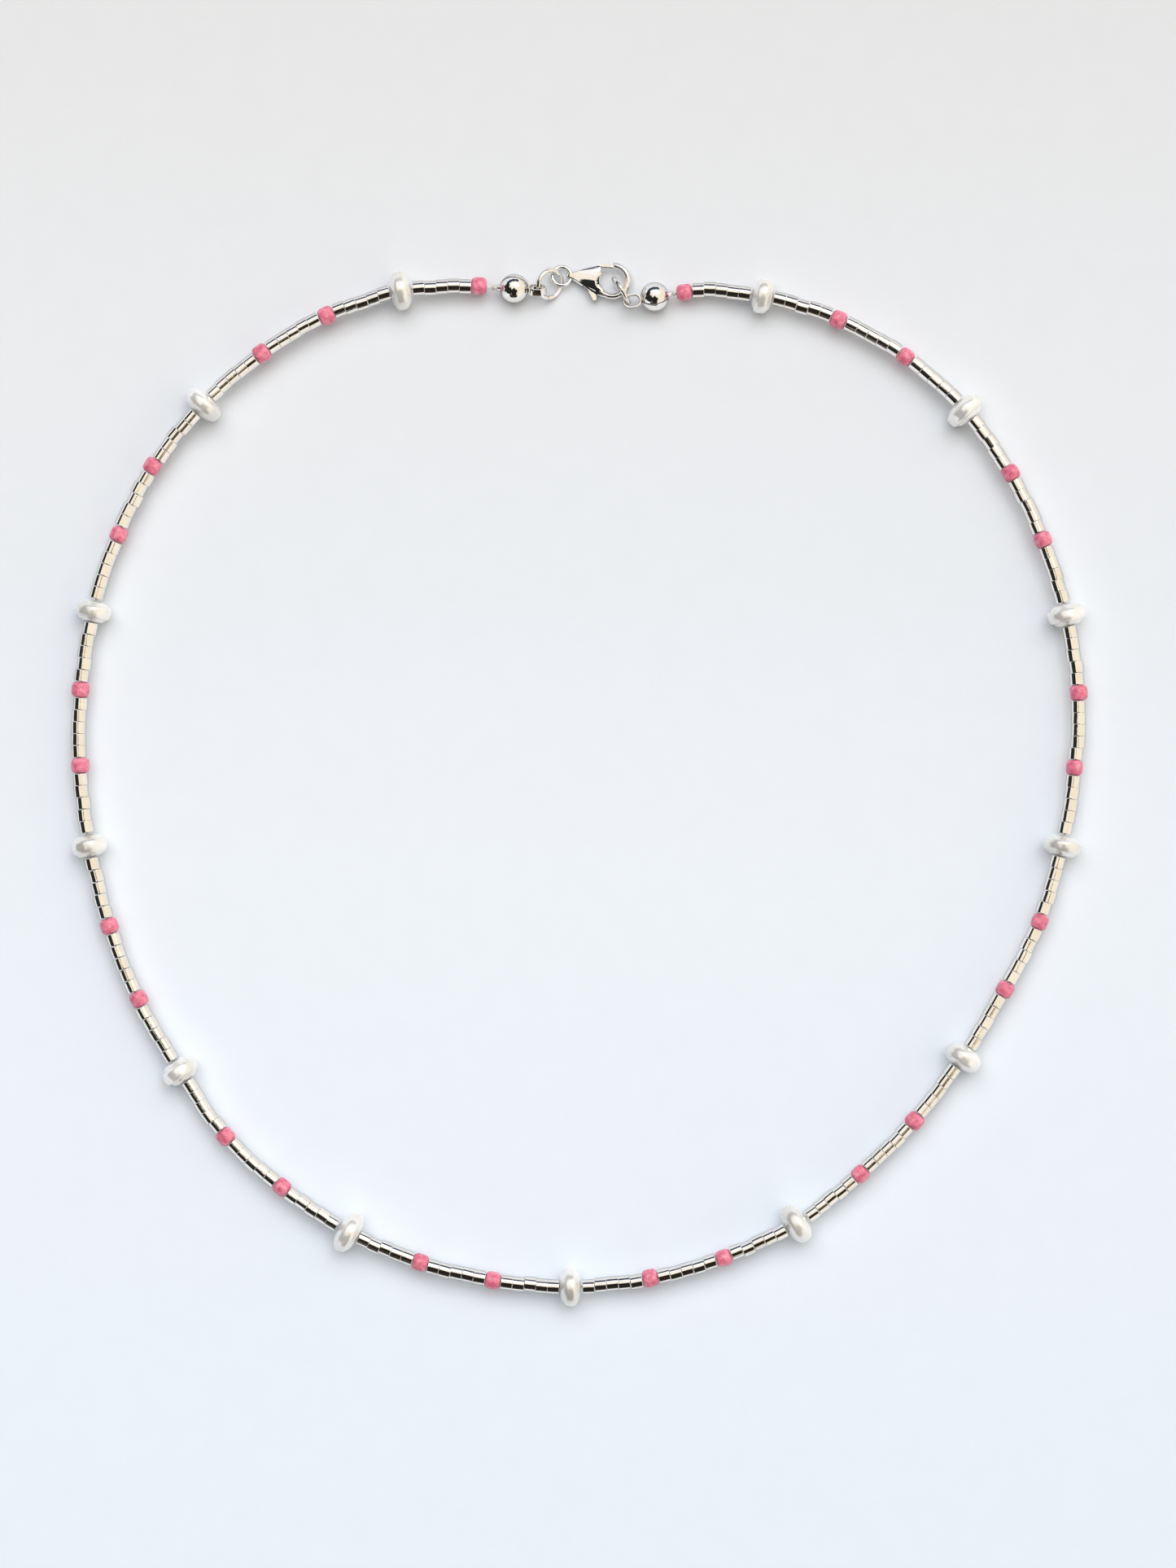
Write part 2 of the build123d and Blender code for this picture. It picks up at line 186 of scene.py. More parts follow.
def middle_and_axis(faces):
    """A turned solid's middle, in millimetres, and the direction that its faces turn about."""
    area = sum(face.calc_area() for face in faces)
    middle = Vector((0, 0, 0))
    spread = np.zeros((3, 3))
    for face in faces:
        share = face.calc_area() / area
        middle += face.calc_center_median() * share
        normal = np.array(face.normal)
        spread += share * np.outer(normal, normal)
    vectors = np.linalg.eigh(spread)[1]
    return middle / MM, Vector(vectors[:, 0])


def solid_places(node):
    """The middle and axis, in millimetres, of each bored solid in a CAD node."""
    work = bmesh.new()
    work.from_mesh(frame["nodes"][node].data)
    bmesh.ops.remove_doubles(work, verts=work.verts, dist=1e-7)
    work.faces.index_update()
    seen = set()
    places = []
    for vertex in work.verts:
        if vertex.index not in seen:
            places.append(middle_and_axis(connected_faces(vertex, seen)))
    work.free()
    return places


def body_of(node):
    return frame["nodes"][node]["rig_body"]


def joint(name):
    """A joint's place in millimetres and its axis."""
    found = next(entry for entry in frame["joints"] if entry["name"] == name)
    return Vector(found["pos_m"]) / MM, Vector(found["axis"])


# ======================= materials =======================

class Shader:
    """A node material around one Principled shader."""

    def __init__(self, name):
        self.material = bpy.data.materials.new(name)
        self.material.use_nodes = True
        self.tree = self.material.node_tree
        self.principled = self.tree.nodes["Principled BSDF"]

    def node(self, kind, **values):
        made = self.tree.nodes.new(kind)
        for key, value in values.items():
            setattr(made, key, value)
        return made

    def link(self, source, target):
        self.tree.links.new(source, target)

    def place(self):
        return self.node("ShaderNodeTexCoord").outputs["Object"]

    def noise(self, scale, detail=3.0, roughness=0.5, source=None):
        made = self.node("ShaderNodeTexNoise")
        made.inputs["Scale"].default_value = scale
        made.inputs["Detail"].default_value = detail
        made.inputs["Roughness"].default_value = roughness
        self.link(source or self.place(), made.inputs["Vector"])
        return made.outputs["Fac"]

    def ramp(self, source, stops):
        made = self.node("ShaderNodeValToRGB")
        elements = made.color_ramp.elements
        while len(elements) < len(stops):
            elements.new(0.5)
        for element, (position, colour) in zip(elements, stops):
            element.position = position
            element.color = (*colour, 1)
        self.link(source, made.inputs["Fac"])
        return made.outputs["Color"]

    def span(self, source, low, high):
        """A 0 to 1 value spread over a range."""
        made = self.node("ShaderNodeMapRange")
        made.inputs["To Min"].default_value = low
        made.inputs["To Max"].default_value = high
        self.link(source, made.inputs["Value"])
        return made.outputs["Result"]

    def bump(self, height, strength, distance, before=None):
        made = self.node("ShaderNodeBump")
        made.inputs["Strength"].default_value = strength
        made.inputs["Distance"].default_value = distance
        self.link(height, made.inputs["Height"])
        if before is not None:
            self.link(before, made.inputs["Normal"])
        return made.outputs["Normal"]

    def set(self, **values):
        for key, value in values.items():
            self.principled.inputs[key.replace("_", " ")].default_value = value


def polished_metal(name, dark, light, edge, rough_low, rough_high, bump_strength):
    """Mirror polish with faint cloudy tarnish, hand-rubbed waviness and darker grazing gloss."""
    shader = Shader(name)
    colour = shader.ramp(shader.noise(420, 4, 0.55), [(0.3, dark), (0.62, light)])
    shader.link(colour, shader.principled.inputs["Base Color"])
    roughness = shader.span(shader.noise(2600, 3, 0.6), rough_low, rough_high)
    shader.link(roughness, shader.principled.inputs["Roughness"])
    wave = shader.bump(shader.noise(1500, 2, 0.5), bump_strength, 0.00004)
    shader.link(wave, shader.principled.inputs["Normal"])
    shader.set(Metallic=1.0, Specular_Tint=(edge, edge, edge, 1))
    return shader.material


def pearl_material(name):
    """Cream nacre: cloudy grey and ivory under a glossy coat, with a milky sheen."""
    shader = Shader(name)
    body = shader.ramp(shader.noise(330, 2, 0.4), [
        (0.30, (0.77, 0.755, 0.71)), (0.48, (0.88, 0.87, 0.835)), (0.64, (0.965, 0.955, 0.935)),
    ])
    shader.link(body, shader.principled.inputs["Base Color"])
    broad = shader.bump(shader.noise(420, 1, 0.4), 0.2, 0.00014)
    fine = shader.bump(shader.noise(2400, 2, 0.5), 0.03, 0.00003, broad)
    shader.link(fine, shader.principled.inputs["Normal"])
    metallic = shader.span(shader.noise(240, 1, 0.4), 0.32, 0.62)
    shader.link(metallic, shader.principled.inputs["Metallic"])
    roughness = shader.span(shader.noise(600, 2, 0.4), 0.16, 0.3)
    shader.link(roughness, shader.principled.inputs["Roughness"])
    shader.set(
        Subsurface_Weight=0.3, Subsurface_Radius=(1.0, 0.9, 0.8), Subsurface_Scale=0.0008,
        Coat_Weight=0.9, Coat_Roughness=0.08, IOR=1.65,
        Sheen_Weight=0.3, Sheen_Roughness=0.6, Sheen_Tint=(1.0, 0.985, 0.95, 1),
    )
    return shader.material


def pink_material(name):
    """Opaque rose glass with a mottled, slightly satin skin."""
    shader = Shader(name)
    colour = shader.ramp(shader.noise(1700, 5, 0.65), [
        (0.3, (0.54, 0.09, 0.16)), (0.5, (0.74, 0.18, 0.28)), (0.72, (0.92, 0.38, 0.47)),
    ])
    shader.link(colour, shader.principled.inputs["Base Color"])
    roughness = shader.span(shader.noise(2600, 3, 0.6), 0.22, 0.42)
    shader.link(roughness, shader.principled.inputs["Roughness"])
    skin = shader.bump(shader.noise(2300, 4, 0.6), 0.45, 0.00005)
    shader.link(skin, shader.principled.inputs["Normal"])
    shader.set(
        Subsurface_Weight=0.12, Subsurface_Radius=(1.0, 0.35, 0.4), Subsurface_Scale=0.0004,
        Coat_Weight=0.5, Coat_Roughness=0.18, IOR=1.5,
    )
    return shader.material


def thread_material(name):
    """Clear nylon line with a milky haze."""
    shader = Shader(name)
    tint = shader.ramp(shader.noise(900, 2, 0.5), [
        (0.35, (0.90, 0.91, 0.90)), (0.65, (0.99, 0.99, 0.98)),
    ])
    shader.link(tint, shader.principled.inputs["Base Color"])
    roughness = shader.span(shader.noise(5000, 3, 0.6), 0.15, 0.3)
    shader.link(roughness, shader.principled.inputs["Roughness"])
    shader.set(Transmission_Weight=0.4, IOR=1.4)
    return shader.material


def floor_material(name):
    """White paper under painted light: painted shade in a warm grey towards the clasp, and a
    painted cool white light at the other end.
    """
    shader = Shader(name)
    split = shader.node("ShaderNodeSeparateXYZ")
    shader.link(shader.place(), split.inputs["Vector"])
    run = shader.node("ShaderNodeMapRange")
    run.inputs["From Min"].default_value = -0.09
    run.inputs["From Max"].default_value = 0.09
    shader.link(split.outputs["Y"], run.inputs["Value"])
    # Painted light and shade along Y: the paper runs from a bright cool white at -Y to a darker
    # warm grey at +Y, the clasp's end.
    painted_light_wash = shader.ramp(run.outputs["Result"], [
        (0.0, (0.78, 0.87, 0.99)), (0.45, (0.79, 0.85, 0.935)), (1.0, (0.705, 0.723, 0.757)),
    ])
    grain = shader.ramp(shader.noise(260, 5, 0.6), [
        (0.3, (0.985, 0.985, 0.985)), (0.7, (1.0, 1.0, 1.0)),
    ])
    mix = shader.node("ShaderNodeMix", data_type="RGBA", blend_type="MULTIPLY")
    mix.inputs["Factor"].default_value = 1.0
    shader.link(painted_light_wash, mix.inputs["A"])
    shader.link(grain, mix.inputs["B"])
    shader.link(mix.outputs["Result"], shader.principled.inputs["Base Color"])
    tooth = shader.bump(shader.noise(2500, 4, 0.6), 0.15, 0.00005)
    shader.link(tooth, shader.principled.inputs["Normal"])
    shader.set(Roughness=0.85)
    return shader.material


# ======================= beads =======================

def arc(centre_r, centre_z, radius, start, end, steps):
    """Points of a profile's arc, angles in degrees from +radius towards +Z."""
    points = []
    for step in range(steps + 1):
        angle = math.radians(start + (end - start) * step / steps)
        points.append((centre_r + radius * math.cos(angle), centre_z + radius * math.sin(angle)))
    return points


def silver_profile():
    """A cut tube with a small bevel. The ring beside each bevel keeps the side straight."""
    edge = 0.022
    half = SILVER_HALF + SILVER_EXTRA
    corner = SILVER_RADIUS - edge
    top = arc(corner, half - edge, edge, 0, 90, 2)
    side = half - 2.2 * edge
    upper = [(SILVER_RADIUS, side)] + top + [(BORE_RADIUS, half)]
    lower = [(radius, -height) for radius, height in reversed(upper)]
    return lower + upper


def pink_profile():
    """A short tube with full round shoulders and a faintly barrelled side."""
    corner = PINK_RADIUS - PINK_SHOULDER - 0.02
    top = arc(corner, PINK_HALF - PINK_SHOULDER, PINK_SHOULDER, 0, 90, 4)
    mouth = [(BORE_RADIUS + 0.04, PINK_HALF - 0.01), (BORE_RADIUS, PINK_HALF - 0.07)]
    upper = [(PINK_RADIUS, 0.0)] + top + mouth
    lower = [(radius, -height) for radius, height in reversed(upper[1:])]
    return lower + upper


def silver_beads(number, material, dice):
    """One stretch's silver beads, each leaning a little on the thread."""
    points, faces = lathe_grid(silver_profile(), 24)
    gather = Gather()
    node = f"silver_beads_{number:02d}"
    for middle, axis in solid_places(node):
        lean = Vector([dice.uniform(-0.022, 0.022) for _ in range(3)])
        gather.add(points, faces, frame_matrix(middle, axis + lean))
    piece = gather.build(f"polished_cylinders_{number:02d}")
    finish_piece(piece, material, body_of(node), "silver_bead", node)


def pink_beads(number, material, dice):
    """One stretch's pink beads, each a little dented and with its own girth."""
    points, faces = lathe_grid(pink_profile(), 30)
    gather = Gather()
    node = f"pink_beads_{number:02d}"
    for middle, axis in solid_places(node):
        lean = Vector([dice.uniform(-0.03, 0.03) for _ in range(3)])
        seed = Vector([dice.uniform(0, 50) for _ in range(3)])
        girth = dice.uniform(0.9, 1.0)
        shaped = []
        for point in points:
            dent = 0.035 * (0.5 + 0.5 * noise.noise(point * 0.9 + seed))
            side = girth * (1 - dent)
            shaped.append(Vector((point.x * side, point.y * side, point.z * (1 - dent))))
        gather.add(shaped, faces, frame_matrix(middle, axis + lean))
    piece = gather.build(f"rose_seed_beads_{number:02d}")
    finish_piece(piece, material, body_of(node), "pink_glass", node)


# ======================= pearls =======================

RIM_POWER = 0.9            # under 1 makes the rim blunter than an ellipse's
DOME_POWER = 0.75          # under 1 makes the two domes flatter than an ellipse's


def pearl_profile(radius, half, steps):
    """Over the rim from one mouth of the bore to the other, as a closed outline."""
    start = math.asin((BORE_RADIUS / radius) ** (1 / RIM_POWER))
    outline = []
    for step in range(steps + 1):
        angle = start + (math.pi - 2 * start) * step / steps
        reach = radius * math.sin(angle) ** RIM_POWER
        height = half * math.copysign(abs(math.cos(angle)) ** DOME_POWER, math.cos(angle))
        outline.append((reach, height))
    return outline[::-1]


# Shares of the pearl's size.
BROAD_DENT = 0.045
SMALL_DENT = 0.025
FACE_SHARE = 0.3           # how much of a dent the two faces get
RING_DEPTH = 0.005         # growth rings
STEP_AT = 0.8              # where the rim steps down from the dome
STEP_SPREAD = 0.09


def shape_pearl(point, radius, half, seed, rim_tilt, rim_turn, step):
    """Dents, growth rings, a lip and a step round the dome, inside the button shape."""
    unit = Vector((point.x / radius, point.y / radius, point.z / half))
    broad = 0.5 + 0.5 * noise.noise(unit * 1.1 + seed)
    small = 0.5 + 0.5 * noise.noise(unit * 2.7 + seed * 1.7)
    dent = BROAD_DENT * broad + SMALL_DENT * small
    reach = math.hypot(point.x, point.y)
    share = reach / radius
    if reach <= BORE_RADIUS * 1.02:
        return Vector((point.x, point.y, point.z * (1 - FACE_SHARE * dent)))
    turn = math.atan2(point.y, point.x)
    one_side = 0.5 + 0.5 * math.cos(turn - rim_turn)
    ripple = math.sin(26 * share + 3 * broad) - 1
    rings = RING_DEPTH * ripple * one_side * min(1, 4 * (1 - share))
    lip = rim_tilt * half * share ** 3 * math.cos(turn - rim_turn) * (1 - abs(unit.z))
    waist = step * (0.4 + 0.6 * one_side) * math.exp(-((share - STEP_AT) / STEP_SPREAD) ** 2)
    height = point.z * (1 - FACE_SHARE * dent - waist + rings) + lip * 0.5
    side = (1 - dent) * (0.99 + 0.01 * math.cos(2 * (turn - rim_turn)))
    return Vector((point.x * side, point.y * side, height))


def pearls(material, dice):
    """All the pearls, each with its own dents, rim and step."""
    for number, (diameter, thickness) in enumerate(PEARL_SIZES, start=1):
        radius, half = diameter / 2, thickness / 2
        points, faces = lathe_grid(pearl_profile(radius, half, 34), 56)
        seed = Vector([dice.uniform(0, 90) for _ in range(3)])
        rim_tilt = dice.uniform(0.12, 0.3)
        rim_turn = dice.uniform(0, 2 * math.pi)
        step = 0.3 if number in STEPPED_PEARLS else dice.uniform(0.02, 0.1)
        shaped = [
            shape_pearl(point, radius, half, seed, rim_tilt, rim_turn, step)
            for point in points
        ]
        middle, axis = joint(f"pearl_{number:02d}_spin")
        gather = Gather()
        gather.add(shaped, faces, frame_matrix(middle, axis))
        piece = gather.build(f"button_pearl_{number:02d}")
        node = f"pearl_{number:02d}"
        finish_piece(piece, material, node, "pearl", node)


# ======================= rings =======================

def wire_ring(name, node, sizes, joint_name, slit_towards, material):
    """Round wire bent into a ring, with square-cut ends that almost meet."""
    radius, wire = sizes
    centre, normal = joint(joint_name)
    away = slit_towards - centre
    level = (away - normal * away.dot(normal)).normalized()
    across = normal.cross(level)
    half_slit = RING_SLIT / 2 / radius
    around, section = 120, 20
    points, faces = [], []
    for step in range(around + 1):
        turn = half_slit + (2 * math.pi - 2 * half_slit) * step / around
        out = level * math.cos(turn) + across * math.sin(turn)
        squash = 0.985 if step in (0, around) else 1.0
        for side in range(section):
            angle = 2 * math.pi * side / section
            offset = out * math.cos(angle) + normal * math.sin(angle)
            points.append(centre + out * radius + offset * wire * squash)
    for step in range(around):
        for side in range(section):
            here, there = step * section, (step + 1) * section
            after = (side + 1) % section
            faces.append((here + side, here + after, there + after, there + side))
    faces.append(tuple(reversed(range(section))))
    faces.append(tuple(around * section + side for side in range(section)))
    piece = make_object(name, points, faces)
    tidy_normals(piece)
    finish_piece(piece, material, body_of(node), "sterling_silver", node)


def tidy_normals(piece):
    """Faces look outwards, and edges sharper than 40 degrees stay crisp."""
    work = bmesh.new()
    work.from_mesh(piece.data)
    bmesh.ops.recalc_face_normals(work, faces=work.faces)
    work.to_mesh(piece.data)
    work.free()
    piece.data.set_sharp_from_angle(angle=math.radians(40))


# ======================= knot covers =======================

def cup(side, lip):
    """Half of the ball as a thin shell about Y, with a rounded lip along the seam."""
    outer = COVER_RADIUS - lip
    inner = outer - COVER_WALL
    profile = arc(0, 0, outer, 89.5, 5, 40)
    profile += arc(outer - 0.045, SEAM_HALF + 0.05, 0.045, 10, -60, 3)
    profile += [(inner, SEAM_HALF + 0.02)]
    profile += arc(0, 0, inner, 12, 89.5, 14)
    points, faces = lathe_grid(profile, 84)
    turn = Matrix.Rotation(math.radians(-90 * side), 4, "X")
    return [turn @ point for point in points], faces


def ribbon_loop():
    """A ribbon bent into a long loop about Z, rounded along its edges."""
    straight = (LOOP_LENGTH - LOOP_WIDTH) / 2
    bend = LOOP_WIDTH / 2 - LOOP_RIBBON / 2
    middle_x = COVER_RADIUS - 0.1 + LOOP_LENGTH / 2
    path = []
    for centre, start in ((straight, -90), (-straight, 90)):
        for step in range(25):
            angle = math.radians(start + 180 * step / 24)
            out = Vector((math.cos(angle), math.sin(angle), 0))
            path.append((Vector((middle_x + centre, 0, 0)) + out * bend, out))
    section = []
    half_t, half_d, edge = LOOP_RIBBON / 2, LOOP_DEPTH / 2, 0.06
    for sign_t, sign_d, start in ((1, 1, 0), (-1, 1, 90), (-1, -1, 180), (1, -1, 270)):
        for step in range(4):
            angle = math.radians(start + 30 * step)
            section.append((
                sign_t * (half_t - edge) + edge * math.cos(angle),
                sign_d * (half_d - edge) + edge * math.sin(angle),
            ))
    points, faces = [], []
    for middle, out in path:
        points.extend(middle + out * t + Vector((0, 0, d)) for t, d in section)
    count = len(section)
    for step in range(len(path)):
        here, there = step * count, (step + 1) % len(path) * count
        for side in range(count):
            after = (side + 1) % count
            faces.append((here + side, there + side, there + after, here + after))
    return points, faces


def fold_tab():
    """The folded hinge that stands out of the ball, with the thread's hole, about Z."""
    outline = [(0.24, -0.36), (0.24, 0.24)]
    outline += arc(0.315, 0.24, 0.075, 180, 0, 5)
    outline += [(0.42, 0.1), (0.50, -0.12), (0.58, -0.36)]
    points, faces = lathe_grid(outline, 40)
    pinched = [Vector((point.x * 0.72, point.y * 1.04, point.z)) for point in points]
    return pinched, faces


def knot_cover(side, centre, outward, loop_axis, seam_roll, thread_from, material):
    """A clamshell ball, with its ribbon loop towards the clasp and its fold to the thread."""
    node = f"{side}_knot_cover"
    across = loop_axis.cross(outward).normalized()
    up = outward.cross(across)
    turn = Matrix((outward, up.cross(outward), up)).transposed().to_4x4()
    place = Matrix.Translation(centre) @ turn
    rolled = place @ Matrix.Rotation(math.radians(seam_roll), 4, "X")
    gather = Gather()
    gather.add(*cup(1, 0.0), rolled)
    gather.add(*cup(-1, 0.035), rolled)
    gather.add(*ribbon_loop(), place)
    towards_thread = (thread_from - centre).normalized()
    fold_middle = centre + towards_thread * COVER_RADIUS
    gather.add(*fold_tab(), frame_matrix(fold_middle, towards_thread))
    piece = gather.build(f"{side}_clamshell_cover")
    tidy_normals(piece)
    finish_piece(piece, material, body_of(node), "sterling_silver", node)


# ======================= thread ends =======================

def knot_wrap(side, material):
    """An overhand knot pulled tight: the line wound twice round itself."""
    node = f"{side}_thread_knot"
    low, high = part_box(node)
    middle = (low + high) / 2 / MM
    axis = solid_places(node)[0][1]
    place = frame_matrix(middle, axis)
    around, section = 132, 10
    path = []
    for step in range(around):
        t = 2 * math.pi * step / around
        spread = KNOT_RADIUS + KNOT_WAVER * math.cos(3 * t)
        height = KNOT_HALF_LENGTH * math.sin(3 * t)
        path.append(Vector((spread * math.cos(2 * t), spread * math.sin(2 * t), height)))
    points, faces = [], []
    for step in range(around):
        here, after = path[step], path[(step + 1) % around]
        along = (after - path[step - 1]).normalized()
        level = along.cross(UP).normalized()
        upright = level.cross(along)
        for turn in range(section):
            angle = 2 * math.pi * turn / section
            out = level * math.cos(angle) + upright * math.sin(angle)
            points.append(here + out * KNOT_LINE)
        start, following = step * section, (step + 1) % around * section
        for turn in range(section):
            nxt = (turn + 1) % section
            faces.append((start + turn, start + nxt, following + nxt, following + turn))
    gather = Gather()
    gather.add(points, faces, place)
    piece = gather.build(f"{side}_line_knot")
    tidy_normals(piece)
    finish_piece(piece, material, body_of(node), "nylon_thread", node)


# ======================= clasp =======================

def softened(name, nodes, voxel, passes, material):
    """CAD pieces joined as one casting, with edges rounded as tumbling leaves them."""
    work = bmesh.new()
    for node in nodes:
        work.from_mesh(frame["nodes"][node].data)
    bmesh.ops.remove_doubles(work, verts=work.verts, dist=1e-7)
    mesh = bpy.data.meshes.new(name)
    work.to_mesh(mesh)
    work.free()
    piece = bpy.data.objects.new(name, mesh)
    bpy.context.scene.collection.objects.link(piece)
    remesh = piece.modifiers.new("even_mesh", "REMESH")
    remesh.mode = "VOXEL"
    remesh.voxel_size = voxel * MM
    smooth = piece.modifiers.new("soften", "SMOOTH")
    smooth.factor = 0.5
    smooth.iterations = passes
    graph = bpy.context.evaluated_depsgraph_get()
    result = bpy.data.meshes.new_from_object(piece.evaluated_get(graph))
    piece.modifiers.clear()
    piece.data = result
    result.name = name
    result.polygons.foreach_set("use_smooth", [True] * len(result.polygons))
    finish_piece(piece, material, body_of(nodes[0]), "sterling_silver", *nodes)
    return piece


# The clasp's own frame: its origin in the middle of the hook's opening, +X to the hook.
CLASP_ORIGIN = CENTRING + Vector((3.5, 55.85, 1.03))
CLASP_ALONG = Vector((0.99513, -0.08356, 0.05234))
BODY_START = -4.5          # where the tapered body leaves the eye
BODY_FULL = -1.75          # where it is widest
BODY_END = -0.95           # where the hook begins
BODY_HALF_WIDTHS = (0.465, 1.665)     # at its start and at its widest
BODY_MIDDLES = (0.215, -0.01)         # the middle line's Y there
BODY_EASE = 0.5            # length over which the rounding fades in and out
CHEEK_DROP = 0.95          # share of the cheek's height that is gone at its edge
SLOT_ROOF = 0.46           # height of the cheek's lower edge above the middle plane


def between(ends, share):
    return ends[0] + (ends[1] - ends[0]) * share


def crown(body):
    """Rounds the flat cheeks of the clasp's tapered body, from the eye to the hook."""
    normal = joint("trigger_pivot")[1].normalized()
    along = CLASP_ALONG.normalized()
    across = normal.cross(along)
    turn = Matrix((along, across, normal)).transposed().to_4x4()
    place = Matrix.Translation(CLASP_ORIGIN) @ turn
    inwards = place.inverted()
    for vertex in body.data.vertices:
        x, y, z = inwards @ (vertex.co / MM)
        if x > BODY_END or x < BODY_START or abs(z) < SLOT_ROOF:
            continue
        share = min(1.0, (x - BODY_START) / (BODY_FULL - BODY_START))
        half_width = between(BODY_HALF_WIDTHS, share)
        middle = between(BODY_MIDDLES, share)
        reach = min(1.0, abs(y - middle) / half_width)
        ease = min(1.0, (BODY_END - x) / BODY_EASE) * min(1.0, (x - BODY_START) / BODY_EASE)
        kept = 1 - CHEEK_DROP * ease * reach ** 2
        height = SLOT_ROOF + (abs(z) - SLOT_ROOF) * kept
        vertex.co = place @ Vector((x, y, math.copysign(height, z))) * MM
    body.data.update()


# ======================= light, camera and floor =======================

def direction(azimuth, elevation):
    """A unit direction from angles in degrees."""
    az, el = math.radians(azimuth), math.radians(elevation)
    return (math.cos(el) * math.cos(az), math.cos(el) * math.sin(az), math.sin(el))


# Patches of the room's light and dark, which the silver reflects, in degrees: azimuth from +X
# towards +Y, elevation, half angle where the patch is full, half angle where it ends. Then its
# colour and strength. Later patches lie over earlier ones.
ROOM_PATCHES = [
    (10, 60, 44, 84, (1.0, 0.90, 0.745), 0.99),
    (88, 50, 16, 36, (0.97, 0.98, 1.0), 1.05),
    (55, 56, 9, 21, (1.0, 0.98, 0.95), 2.4),
    (72, 20, 11, 16, (0.05, 0.07, 0.11), 1.0),
    (94, 23, 12, 17, (0.05, 0.07, 0.11), 1.0),
    (116, 23, 12, 17, (0.05, 0.07, 0.11), 1.0),
    (136, 24, 10, 15, (0.04, 0.05, 0.07), 1.0),
    (195, 54, 11, 15, (0.02, 0.022, 0.022), 1.0),
    (180, 34, 16, 23, (0.02, 0.022, 0.022), 1.0),
    (155, 32, 14, 21, (0.02, 0.022, 0.022), 1.0),
    (188, 13, 11, 16, (0.03, 0.03, 0.03), 1.0),
    (170, 13, 11, 16, (0.03, 0.03, 0.03), 1.0),
    (-155, 32, 14, 21, (0.02, 0.022, 0.022), 1.0),
    (-140, 40, 14, 21, (0.02, 0.02, 0.018), 1.0),
    (-118, 62, 11, 18, (0.02, 0.018, 0.016), 1.0),
    (-108, 20, 14, 18, (0.06, 0.038, 0.022), 1.0),
    (-84, 20, 14, 18, (0.06, 0.038, 0.022), 1.0),
    (-90, 45, 17, 23, (0.02, 0.018, 0.016), 1.0),
    (-90, 62, 14, 19, (0.02, 0.018, 0.016), 1.0),
    (-62, 60, 10, 17, (0.02, 0.018, 0.016), 1.0),
    (-90, 79, 8, 12, (0.02, 0.018, 0.016), 1.0),
]


RIPPLE = 0.14              # how far the room's edges waver
BACKDROP = (0.86, 0.89, 0.93, 1)
BASE_LIGHT = (0.93, 0.95, 1.0, 1)


def vector_math(tree, operation, first, second, third=None):
    """A vector maths node. Its inputs are other nodes' outputs or plain numbers."""
    made = tree.nodes.new("ShaderNodeVectorMath")
    made.operation = operation
    for socket, value in zip(made.inputs, (first, second, third)):
        if isinstance(value, tuple):
            socket.default_value = value
        elif value is not None:
            tree.links.new(value, socket)
    return made


def colour_mix(tree, share, below, above):
    """One colour over another by a share."""
    made = tree.nodes.new("ShaderNodeMix")
    made.data_type = "RGBA"
    tree.links.new(share, made.inputs["Factor"])
    for name, value in (("A", below), ("B", above)):
        if isinstance(value, tuple):
            made.inputs[name].default_value = value
        else:
            tree.links.new(value, made.inputs[name])
    return made.outputs["Result"]


def rippled_direction(tree):
    """The direction that a ray leaves in, pushed about a little by a noise."""
    source = tree.nodes.new("ShaderNodeTexCoord").outputs["Generated"]
    ripple = tree.nodes.new("ShaderNodeTexNoise")
    ripple.inputs["Scale"].default_value = 3.5
    ripple.inputs["Detail"].default_value = 3.0
    tree.links.new(source, ripple.inputs["Vector"])
    push = (RIPPLE, RIPPLE, RIPPLE)
    pushed = vector_math(tree, "MULTIPLY_ADD", ripple.outputs["Color"], push, source)
    half_push = (RIPPLE / 2, RIPPLE / 2, RIPPLE / 2)
    centred = vector_math(tree, "SUBTRACT", pushed.outputs[0], half_push)
    unit = tree.nodes.new("ShaderNodeVectorMath")
    unit.operation = "NORMALIZE"
    tree.links.new(centred.outputs[0], unit.inputs[0])
    return unit.outputs[0]


def world_light():
    """A bright room with warm light from +X and dark furniture towards -X and -Y."""
    world = bpy.data.worlds.new("soft_room")
    bpy.context.scene.world = world
    world.use_nodes = True
    tree = world.node_tree
    background = tree.nodes["Background"]
    ray = rippled_direction(tree)
    colour = BASE_LIGHT
    for azimuth, elevation, full, end, tint, strength in ROOM_PATCHES:
        dot = vector_math(tree, "DOT_PRODUCT", ray, direction(azimuth, elevation))
        fade = tree.nodes.new("ShaderNodeMapRange")
        fade.interpolation_type = "SMOOTHSTEP"
        fade.inputs["From Min"].default_value = math.cos(math.radians(end))
        fade.inputs["From Max"].default_value = math.cos(math.radians(full))
        tree.links.new(dot.outputs["Value"], fade.inputs["Value"])
        lit = (*[part * strength for part in tint], 1)
        colour = colour_mix(tree, fade.outputs["Result"], colour, lit)
    seen = tree.nodes.new("ShaderNodeLightPath").outputs["Is Camera Ray"]
    shown = colour_mix(tree, seen, colour, BACKDROP)
    tree.links.new(shown, background.inputs["Color"])
    background.inputs["Strength"].default_value = 1.0


def soft_lamp(name, where, size, watts, colour):
    """A square lamp aimed at the necklace, unseen in reflections. Place and size in metres."""
    light = bpy.data.lights.new(name, "AREA")
    light.size = size
    light.energy = watts
    light.color = colour
    lamp = bpy.data.objects.new(name, light)
    bpy.context.scene.collection.objects.link(lamp)
    lamp.location = where
    lamp.rotation_euler = (-Vector(where)).to_track_quat("-Z", "Y").to_euler()
    lamp.visible_glossy = False


VIEW_HEIGHT = 173.4        # what the picture spans, from top to bottom, at the strand
VIEW_DISTANCE = 430.0      # from the strand to the camera
VIEW_MIDDLE = Vector((0.94, 0.0))
STRAND_HEIGHT = 2.18


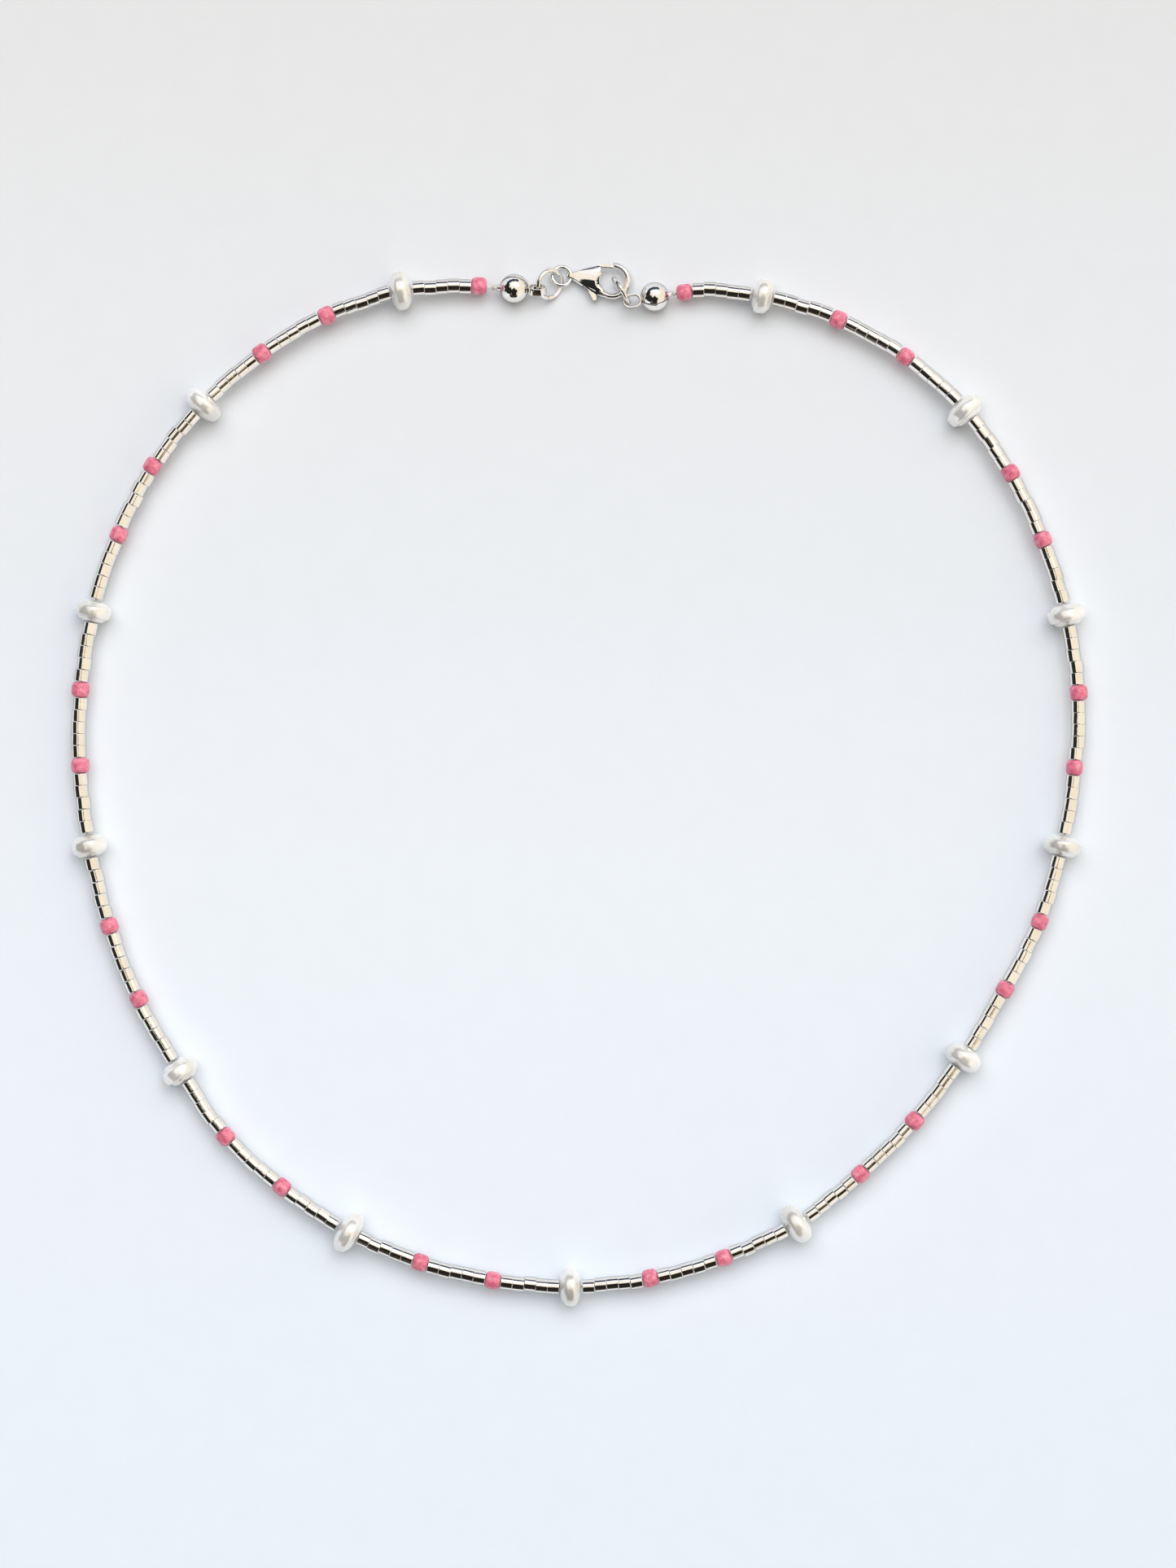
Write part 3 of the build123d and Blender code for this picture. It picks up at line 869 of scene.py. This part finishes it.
def overhead_camera():
    """Looks straight down on the middle of the loop."""
    data = bpy.data.cameras.new("overhead")
    data.sensor_fit = "VERTICAL"
    data.angle = 2 * math.atan(VIEW_HEIGHT / 2 / VIEW_DISTANCE)
    data.clip_start = 0.01
    camera = bpy.data.objects.new("overhead", data)
    bpy.context.scene.collection.objects.link(camera)
    height = STRAND_HEIGHT + VIEW_DISTANCE
    camera.location = Vector((VIEW_MIDDLE.x, VIEW_MIDDLE.y, height)) * MM
    bpy.context.scene.camera = camera


def table_top():
    """A large plain sheet of paper under the necklace."""
    points, faces = [], [(0, 1, 2, 3)]
    reach = 3000               # from its middle to each edge
    for x, y in ((-1, -1), (1, -1), (1, 1), (-1, 1)):
        points.append(Vector((x * reach, y * reach, 0)))
    floor = make_object("paper", points, faces)
    floor.data.materials.append(floor_material("paper"))


# ======================= the whole scene =======================

# A ring's name, its node, its sizes, its joint and a point that its slit faces.
RINGS = [
    ("left_link", "left_jump_ring", JUMP_RING, "left_jump_ring_spin", (-3.4, 53.0, 1.3)),
    ("right_link", "right_jump_ring", JUMP_RING, "right_jump_ring_spin", (4.43, 54.66, 5.0)),
    ("tail_link", "clasp_tail_ring", TAIL_RING, "tail_ring_spin", (-2.1, 60.0, 0.8)),
]

# A ball's side, its middle, the direction to the clasp, its ribbon loop's axis, the roll of its
# seam in degrees and a point that the thread comes from.
KNOT_COVERS = [
    ("left", (-7.4, 54.9, 1.65), (0.985, -0.06, 0.11), (-0.24, 0.83, 0.51), 9,
     (-13.0, 55.2, 1.95)),
    ("right", (8.15, 54.02, 1.65), (-0.975, -0.2, 0.06), (0.06, 0, 1.0), -37,
     (13.0, 54.9, 1.85)),
]


def recolour(node, material):
    """A CAD piece that keeps its shape and gets a finished material."""
    piece = frame["nodes"][node]
    for slot in piece.material_slots:
        slot.material = material


def main():
    dice = random.Random(4)
    overhead_camera()
    table_top()
    world_light()
    soft_lamp("key", (-0.06, 0.34, 0.86), 0.8, 5.4, (0.99, 0.985, 0.98))
    bead_silver = polished_metal(
        "bead_silver", (0.89, 0.85, 0.79), (0.97, 0.94, 0.90), 0.3, 0.015, 0.06, 0.2,
    )
    cast_silver = polished_metal(
        "cast_silver", (0.88, 0.85, 0.81), (0.97, 0.95, 0.92), 0.5, 0.02, 0.08, 0.12,
    )
    crushed = polished_metal(
        "crushed_crimp", (0.5, 0.49, 0.47), (0.72, 0.71, 0.69), 0.5, 0.2, 0.4, 0.5,
    )
    nacre = pearl_material("nacre")
    rose = pink_material("rose_glass")
    nylon = thread_material("clear_nylon")
    for number in range(1, STRETCHES + 1):
        silver_beads(number, bead_silver, dice)
        pink_beads(number, rose, dice)
        recolour(f"thread_{number:02d}", nylon)
    pearls(nacre, dice)
    for name, node, sizes, joint_name, slit_towards in RINGS:
        towards = CENTRING + Vector(slit_towards)
        wire_ring(name, node, sizes, joint_name, towards, cast_silver)
    for side, centre, outward, loop_axis, seam_roll, thread_from in KNOT_COVERS:
        knot_cover(
            side, CENTRING + Vector(centre), Vector(outward).normalized(),
            Vector(loop_axis).normalized(), seam_roll, CENTRING + Vector(thread_from),
            cast_silver,
        )
    for side in ("left", "right"):
        knot_wrap(side, nylon)
        recolour(f"{side}_crimp_bead", crushed)
    crown(softened("cast_clasp_body", ("clasp_body", "trigger_pin"), 0.035, 8, cast_silver))
    softened("cast_trigger", ("clasp_trigger",), 0.035, 6, cast_silver)
    recolour("trigger_spring", crushed)


bpy.context.scene.view_settings.view_transform = "Standard"
main()
